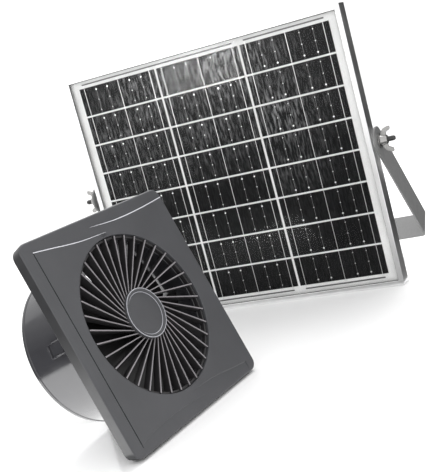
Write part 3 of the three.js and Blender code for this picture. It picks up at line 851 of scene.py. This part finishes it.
def rail(length, at):
    """A mitred rail; at places (inward, rearward, along)."""
    gap = 0.08
    section = rail_section()
    shell = lofted([[at(u, y, (gap + u) if end == 0 else length - gap - u) for u, y in section]
                    for end in (0, 1)])
    # painted shade: the arc of the outer rear edge takes material 2, a dark line
    shaded_edge = range(len(section) - 5, len(section) - 1)  # the arc of the outer rear edge
    return banded(shell, len(section), shaded_edge, 2)


def bead(length, at):
    """The sealant bead between the lip and the glass, painted dark as the shadow line under the lip."""
    outline = filleted([(LIP - 0.5, 1.1, 0), (LIP + 0.35, 1.1, 0.3), (LIP + 0.55, 1.75, 0),
                        (LIP - 0.5, 1.75, 0)])
    return lofted([[at(u, y, u if end == 0 else length - u) for u, y in outline] for end in (0, 1)])


def frame_rails():
    """The four rails, each with its bead of sealant, and a bolt hole in the two upright ones."""
    layouts = {
        "bottom": (WIDTH, RAIL_X, lambda u, y, s: (s - WIDTH / 2, y, u)),
        "top": (WIDTH, RAIL_X, lambda u, y, s: (s - WIDTH / 2, y, HEIGHT - u)),
        "left": (HEIGHT, RAIL_Z, lambda u, y, s: (u - WIDTH / 2, y, s)),
        "right": (HEIGHT, RAIL_Z, lambda u, y, s: (WIDTH / 2 - u, y, s)),
    }
    for name, (length, finish, at) in layouts.items():
        cuts = []
        if name in SIDES:
            hole = extruded(circle(BOLT_HOLE, 32), -3, 1)
            cuts = [moved(hole, PANEL.inverted() @ SIDES[name])]
        shells = [rail(length, at), painted(bead(length, at), 1)]
        piece("frame_rail_profile_" + name, shells, PANEL, [finish, SEALANT_SHADOW_LINE, RAIL_EDGE_SHADE],
              cuts=cuts, replaces=["frame_rail_" + name])


# ---- panel: laminate
BUSBARS = (0.065, 0.22, 0.37, 0.52, 0.67, 0.82, 0.935)
FULL_BARS = (0, 3, 6)
RIBBON_END = 4.6  # how far the full ribbons run past the cells


def cell_boxes(column):
    """Left edge, foot, width and height of the cells of a column."""
    low, high = reach("cell_string_" + column, PANEL)
    pitch_x = high.x - low.x + 1.2
    pitch_z = (high.z - low.z) / ROWS
    x = low.x - 0.6 + COLUMN_GAP / 2
    for row in range(ROWS):
        yield (x, low.z + row * pitch_z + ROW_GAP / 2, pitch_x - COLUMN_GAP, pitch_z - ROW_GAP)


def cell(draw, x0, z0, width, height, front, back):
    """One cell: a thin slab whose front waves a little where the ribbons pull on it."""
    across, up = 56, 9
    waves = [(draw.uniform(5, 9), draw.uniform(0, 6.3), draw.uniform(-1.5, 1.5)) for _ in range(3)]

    def wave(x, z):
        edge = min(x, width - x, z * 2, (height - z) * 2, 4) / 4
        total = sum(sin(2 * pi * x / length + phase + slant * z / height) for length, phase, slant in waves)
        return front + 0.018 * edge * (total - 3)

    def place(i, k):
        x, z = width * i / across, height * k / up
        return (x0 + x, wave(x, z), z0 + z)

    verts = [place(i, k) for k in range(up + 1) for i in range(across + 1)]
    size = across + 1
    faces = [(k * size + i, k * size + i + 1, (k + 1) * size + i + 1, (k + 1) * size + i)
             for k in range(up) for i in range(across)]
    border = list(range(across)) + [k * size + across for k in range(up)]
    border += [up * size + i for i in range(across, 0, -1)] + [k * size for k in range(up, 0, -1)]
    base = len(verts)
    verts += [(verts[i][0], back, verts[i][2]) for i in border]
    count = len(border)
    faces += [(border[i], base + i, base + (i + 1) % count, border[(i + 1) % count]) for i in range(count)]
    faces.append(tuple(range(base, base + count)))
    return verts, faces


def ribbon(x, z0, z1, width, front, back, steps):
    """A flat tinned ribbon with sloping sides, in short lengths."""
    rings = []
    for k in range(steps + 1):
        z = z0 + (z1 - z0) * k / steps
        rings.append([(x - width / 2, back, z), (x + width / 2, back, z), (x + width / 2 * 0.8, front, z),
                      (x - width / 2 * 0.8, front, z)])
    return lofted(rings)


def laminate():
    """The cells, the ribbons and solder dots on them, and the strips that join the columns."""
    low, high = reach("cell_string_left", PANEL)
    front, back = low.y, high.y
    draw = random.Random(11)
    ends = {}
    for column in COLUMNS:
        cells, bars = [], []
        boxes = list(cell_boxes(column))
        foot, head = boxes[0][1], boxes[-1][1] + boxes[-1][3]
        for x0, z0, width, height in boxes:
            cells.append(cell(draw, x0, z0, width, height, front + 0.1, back))
            for k, share in enumerate(BUSBARS):
                if k in FULL_BARS:
                    continue
                x = x0 + share * width
                fine = ribbon(x, z0 + 0.03 * height, z0 + 0.97 * height, 0.32, front - 0.08, back - 0.1, 6)
                bars.append(painted(fine, 1))
                for level, radius in ((0.13, 1.05), (0.5, 0.6), (0.88, 0.6)):
                    z = level if column == "right" else 1 - level
                    dot = circle(radius, 16, x, z0 + z * height)
                    bars.append(crosswise(dot, front - 0.12, back - 0.1))
        x0, width = boxes[0][0], boxes[0][2]
        for k in FULL_BARS:
            bars.append(ribbon(x0 + BUSBARS[k] * width, foot - RIBBON_END, head + RIBBON_END, 0.6,
                               front - 0.1, back - 0.1, 60))
        ends[column] = (x0 + BUSBARS[0] * width, x0 + BUSBARS[-1] * width, foot, head)
        piece("cells_" + column, cells, PANEL, SILICON, replaces=["cell_string_" + column])
        piece("ribbons_" + column, bars, PANEL, [TINNED, FINE_TINNED])
    strips = []
    foot, head = ends["left"][2:]
    spans = ((ends["left"][0] - 2, ends["middle"][1] + 1.2), (ends["right"][0] - 1.2, ends["right"][1] + 2.4))
    for level in (foot - RIBBON_END + 0.2, head + RIBBON_END - 0.2):
        for start, end in spans:
            strips.append(block((start, front - 0.16, level - 0.75), (end, front + 0.05, level + 0.75)))
    piece("bus_ribbons", strips, PANEL, BUS, bevel=0.05)


def slab(low, high, radius, steps=4):
    """A rounded rectangle in x and z, from low.y to high.y."""
    outline = filleted([(low[0], low[2], radius), (high[0], low[2], radius), (high[0], high[2], radius),
                        (low[0], high[2], radius)], steps)
    return crosswise(outline, low[1], high[1])


def embossed(start, end, across):
    """The low ridge that a ribbon presses into the back of the film, from one point to another."""
    rear = reach("backsheet", PANEL)[1].y
    section = [(-1.7, -0.05), (-0.8, 0.16), (0.8, 0.16), (1.7, -0.05)]
    return lofted([[(x + u * across[0], rear + y, z + u * across[1]) for u, y in section] for x,
                   z in (start, end)])


def plates():
    """The cover glass, and the film behind the cells with the ribbons' ridges on its rear."""
    piece("cover_glass_pane", [slab(*reach("cover_glass", PANEL), 0.8, 3)], PANEL, GLASS,
          replaces=["cover_glass"])
    points, faces = slab(*reach("backsheet", PANEL), 0.8, 3)
    # painted shade: the rear face and the ridges on it take material 1, the darker film copy
    shells = [(points, faces, [0] * (len(faces) - 1) + [1])]  # the last face is the rear
    for column in COLUMNS:
        boxes = list(cell_boxes(column))
        foot, head = boxes[0][1] - RIBBON_END, boxes[-1][1] + boxes[-1][3] + RIBBON_END
        lines = [boxes[0][0] + BUSBARS[k] * boxes[0][2] for k in FULL_BARS]
        shells += [painted(embossed((x, foot), (x, head), (1, 0)), 1) for x in lines]
        shells += [painted(embossed((lines[0] + 2, z), (lines[-1] - 2, z), (0, 1)), 1) for z in (foot, head)]
    piece("backsheet_film", shells, PANEL, [SHEET, SHEET_REAR_SHADE], replaces=["backsheet"])


# ---- panel: junction box
def junction_box():
    """The box behind the panel, and its grooved lid with four latches."""
    low, high = reach("junction_box", PANEL)
    shell = slab(low, high, 3)
    inside = slab((low.x + 2, low.y + 2, low.z + 2), (high.x - 2, high.y + 1, high.z - 2), 1.5)
    mouth = extruded(circle(3.4, 32, 0, 13.5), low.z - 1, low.z + 3)
    piece("junction_box_body", [shell], PANEL, BLACK, bevel=0.3, cuts=[inside, mouth],
          replaces=["junction_box"])
    lid_low, lid_high = reach("junction_box_lid", PANEL)
    step = 1.1
    shells = [slab(lid_low, (lid_high.x, lid_high.y - step, lid_high.z), 3),
              slab((lid_low.x + 4, lid_low.y + 1, lid_low.z + 4),
                   (lid_high.x - 4, lid_high.y, lid_high.z - 4), 2)]
    cuts = []
    for i in range(9):
        z = lid_low.z + 12 + i * 3
        cuts.append(block((-17, lid_high.y - 0.6, z - 0.5), (17, lid_high.y + 1, z + 0.5)))
    latch = [slab((x - 5, lid_low.y - 3, z - 0.8), (x + 5, lid_high.y - step, z + 0.8), 0.6)
             for x in (-18, 18) for z in (lid_low.z - 0.5, lid_high.z + 0.5)]
    piece("junction_box_cover", shells + latch, PANEL, BLACK, bevel=0.3, cuts=cuts,
          replaces=["junction_box_lid"])


def cable_gland():
    """The gland under the junction box: a nut and a toothed cap."""
    low, high = reach("cable_gland", PANEL)
    top = high.z
    at = PANEL @ Matrix.Translation((0, (low.y + high.y) / 2, 0))
    nut = extruded(circle(6.4, 6), top - 4.2, top)
    body = turned(filleted([(2.4, top - 4.1, 0), (5.5, top - 4.1, 0.3), (5.5, top - 5.2, 0.3),
                            (4.9, top - 5.6, 0.2),
                            (4.9, top - 11, 1.6), (3.4, low.z, 0.6), (2.4, low.z, 0.3)], 5), 40)
    teeth = [spun(block((4.4, -0.5, top - 11), (5.5, 0.5, top - 5.8)), 30 * i) for i in range(12)]
    piece("cable_gland_body", [nut, body, *teeth], at, BLACK, bevel=0.15,
          cuts=[extruded(circle(2.4, 32), low.z - 1, top + 1)], replaces=["cable_gland"])


# ---- panel: tilt bracket and its hardware
STRIP = 33.0
STRAP_THICK = 2.0
BEND = 5.0
REST_TILT = radians(-48)


def u_bracket():
    """A bent steel strip: two arms with round ends, a bar, pivot holes and a row of fixing holes."""
    place = PIVOT @ Matrix.Rotation(REST_TILT, 4, "X")
    high = reach("u_bracket", place)[1]
    half, far = high.x, high.y
    path = [(-half, -STRIP / 2, 0), (-half, far, BEND), (half, far, BEND), (half, -STRIP / 2, 0),
            (half - STRAP_THICK, -STRIP / 2, 0), (half - STRAP_THICK, far - STRAP_THICK, BEND - STRAP_THICK),
            (-half + STRAP_THICK, far - STRAP_THICK, BEND - STRAP_THICK),
            (-half + STRAP_THICK, -STRIP / 2, 0)]
    strap = extruded(filleted(path, 8), -STRIP / 2, STRIP / 2)
    arc = [(STRIP / 2 * cos(a), STRIP / 2 * sin(a)) for a in (pi / 2 + pi * k / 32 for k in range(33))]
    corners = [(0, STRIP), *arc, (0, -STRIP), (-STRIP, -STRIP), (-STRIP, STRIP)]
    cuts = []
    for x in (-half - 1, half - STRAP_THICK - 1):
        for outline in (corners, circle(BOLT_HOLE, 32)):
            cuts.append(lofted([[(x + d, y, z) for y, z in outline] for d in (0, STRAP_THICK + 2)]))
    for x in (-130, -50, 50, 130):
        cuts.append(crosswise(circle(BOLT_HOLE, 32, x), far - 4, far + 2))
    piece("u_bracket_strap", [strap], place, STRAP, bevel=0.35, cuts=cuts,
          replaces=["u_bracket"], body="tilt_bracket")


def threaded(radius, z0, z1, pitch=1.0):
    """A profile with rounded thread crests, from z0 to z1, for a bolt's shank."""
    profile = []
    count = int((z1 - z0 - 1.2) / pitch)
    for k in range(count):
        z = z0 + k * pitch
        profile += [(radius - 0.45, z), (radius - 0.05, z + 0.38 * pitch), (radius, z + 0.5 * pitch),
                    (radius - 0.05, z + 0.62 * pitch)]
    return profile + [(radius - 0.45, z0 + count * pitch), (radius - 0.9, z1)]


def pivot_hardware():
    """On each side the bolt, the nylon spacer, the washer and the wing nut."""
    for name, place in SIDES.items():
        low, high = reach("pivot_bolt_" + name, place)
        neck = low.z + 2.6
        shank = [(0, neck), (2.95, neck), (2.95, 3.4), *threaded(3.0, 3.6, high.z), (0, high.z)]
        shells = [extruded(circle(9 / 2 / cos(pi / 6), 6), low.z, low.z + 3), turned(shank, 40)]
        piece("carriage_bolt_" + name, shells, place, BOLT_STEEL, bevel=0.12,
              replaces=["pivot_bolt_" + name])
        low, high = reach("pivot_spacer_" + name, place)
        bush = tube(BOLT_HOLE, high.x, low.z, high.z, (0.2, 0.5, 0.5, 0.2))
        piece("spacer_bush_" + name, [bush], place, WHITE,
              replaces=["pivot_spacer_" + name])
        low, high = reach("pivot_washer_" + name, place)
        washer = tube(BOLT_HOLE, high.x, low.z, high.z, (0.1, 0.3, 0.4, 0.2))
        piece("flat_washer_" + name, [washer], place, BRIGHT,
              replaces=["pivot_washer_" + name], body="tilt_bracket")
        wing_nut(name, place)


def wing_nut(name, place):
    """A tapered hub with two wings, set upright."""
    base = reach("wing_nut_" + name, place)[0].z
    hub = turned(filleted([(BOLT_HOLE, base, 0.3), (6, base, 0.5), (5, base + 8, 0.9),
                           (BOLT_HOLE, base + 8, 0.3)]), 48)
    outline = filleted([(3.6, 0.6, 0), (7.6, 0.8, 1.5), (12.6, 4.2, 6), (14.9, 9.5, 3.5), (14.2, 13, 1.6),
                        (10.4, 12.4, 2), (8.2, 7.4, 2.6), (3.6, 7, 0)], 6)
    steps = 5
    wings = []
    for turn in (0, 180):
        rings = []
        for k in range(steps + 1):
            y = -1.15 + 2.3 * k / steps
            swell = 1 - 0.05 * (2 * k / steps - 1) ** 4
            rings.append([(4 + (x - 4) * swell, y, base + 6.5 + (z - 6.5) * swell) for x, z in outline])
        wings.append(spun(lofted(rings), turn + 90))
    piece("wing_nut_body_" + name, [hub, *wings], place, BRIGHT, bevel=0.25,
          replaces=["wing_nut_" + name], body="wing_nut_" + name)


# ---- what stays as it was packed
def dress_cad_nodes():
    corners = ("lower_left", "lower_right", "upper_left", "upper_right")
    finishes = {"corner_key_" + corner: MOTOR_STEEL for corner in corners}
    finishes |= {"stator_core": COPPER, "rotor_magnet": MAGNET}
    finishes |= {node: BRIGHT for node in ("front_bearing", "rear_bearing", "motor_shaft")}
    for node, finish in finishes.items():
        mesh = frame["nodes"][node].data
        mesh.materials.clear()
        mesh.materials.append(finish)


# ---- studio
def camera():
    lens = bpy.data.cameras.new("camera")
    lens.lens = 72.46
    lens.clip_end = 100
    obj = bpy.data.objects.new("camera", lens)
    right = Vector((0.87691, 0.40676, -0.25609))
    up = Vector((0.15717, 0.26085, 0.95250))
    back = right.cross(up).normalized()
    up = back.cross(right).normalized()
    place = PANEL @ Vector((491.8, -1015.1, 285.4))
    obj.matrix_world = framed(place, right.normalized(), up, back) @ Matrix.Scale(1 / MM, 4)
    bpy.context.scene.collection.objects.link(obj)
    bpy.context.scene.camera = obj


def softbox(name, position, target, width, height, power):
    """A rectangular light that faces a target."""
    light = bpy.data.lights.new(name, "AREA")
    light.shape = "RECTANGLE"
    light.size, light.size_y = width, height
    light.energy = power
    obj = bpy.data.objects.new(name, light)
    obj.location = position
    obj.rotation_euler = (Vector(target) - Vector(position)).to_track_quat("-Z", "Y").to_euler()
    bpy.context.scene.collection.objects.link(obj)


def studio():
    """An even white world, one softbox above, the white floor and the cards that are mirrored."""
    world = bpy.data.worlds.new("studio")
    world.use_nodes = True
    background = world.node_tree.nodes["Background"]
    background.inputs["Color"].default_value = (1, 1, 1, 1)
    background.inputs["Strength"].default_value = 1.15
    bpy.context.scene.world = world
    bpy.context.scene.view_settings.view_transform = "Standard"
    softbox("overhead", (-0.3, 0.9, 1.5), (0, -0.1, 0.1), 1.4, 1.0, 22)
    floor = mesh_object("floor", [extruded(circle(40, 96), -0.02, 0)], Matrix.Identity(4), [floor_paint()])
    reflections()


def standing(start, end, low, high):
    """The corners of an upright card on a line on the floor."""
    return [(*start, low), (*end, low), (*end, high), (*start, high)]


def lying(*corners):
    """The corners of a card that lies just above the floor."""
    return [(x, y, 0.002) for x, y in corners]


def card(name, corners, strength):
    """A card that only mirrored light sees: black where strength is 0, else a glowing panel."""
    material = bpy.data.materials.new(name)
    material.use_nodes = True
    tree = material.node_tree
    tree.nodes.clear()
    output = tree.nodes.new("ShaderNodeOutputMaterial")
    glow = tree.nodes.new("ShaderNodeEmission")
    glow.inputs["Strength"].default_value = strength
    tree.links.new(glow.outputs["Emission"], output.inputs["Surface"])
    mesh = bpy.data.meshes.new(name)
    mesh.from_pydata(corners, [], [(0, 1, 2, 3)])
    mesh.materials.append(material)
    obj = bpy.data.objects.new(name, mesh)
    bpy.context.scene.collection.objects.link(obj)
    obj.visible_camera = obj.visible_diffuse = obj.visible_shadow = obj.visible_transmission = False


def reflections():
    """Flags and strips that shape what the glossy surfaces mirror."""
    line = ((-0.235, -0.238), (-0.120, -0.513))
    for i in range(5):
        card("collar_flag_" + str(i), standing(*line, 0.085 + 0.03 * i, 0.115 + 0.03 * i), 0.15 * i)
    card("collar_flag", standing(*line, 0.0, 0.085), 0)
    card("band_flag", lying((-0.9, -1.1), (-0.14, -1.1), (-0.125, -0.53), (-0.9, -0.5)), 0)
    card("collar_glow", lying(*line, (0.06, -0.30), (-0.03, -0.18)), 3.6)
    card("panel_side_flag", standing((0.15, 0.36), (0.6, 0.30), 0.0, 0.5), 0.03)
    card("panel_side_floor_flag", lying((0.187, 0.143), (0.187, 0.36), (0.8, 0.36), (0.5, 0.143)), 0.12)
    card("panel_foot_grey", lying((-0.3, 0.138), (0.4, 0.138), (0.4, -0.06), (-0.3, -0.06)), 0.34)
    card("sky_patch", standing((-0.98, -1.6), (-0.70, -1.6), 0.24, 0.5), 20)


def floor_paint():
    made = Surface("floor_paint", 0.7)
    made.colour(made.noise(400, detail=3), (0.93, 0.93, 0.93), (0.95, 0.95, 0.95))
    return made.material


camera()
studio()
front_cover()
louvre_grille()
hub_cap()
duct_housing()
wall_clips()
lead_grommet()
impeller()
motor()
motor_bracket()
motor_screws()
frame_rails()
laminate()
plates()
junction_box()
cable_gland()
u_bracket()
pivot_hardware()
dress_cad_nodes()
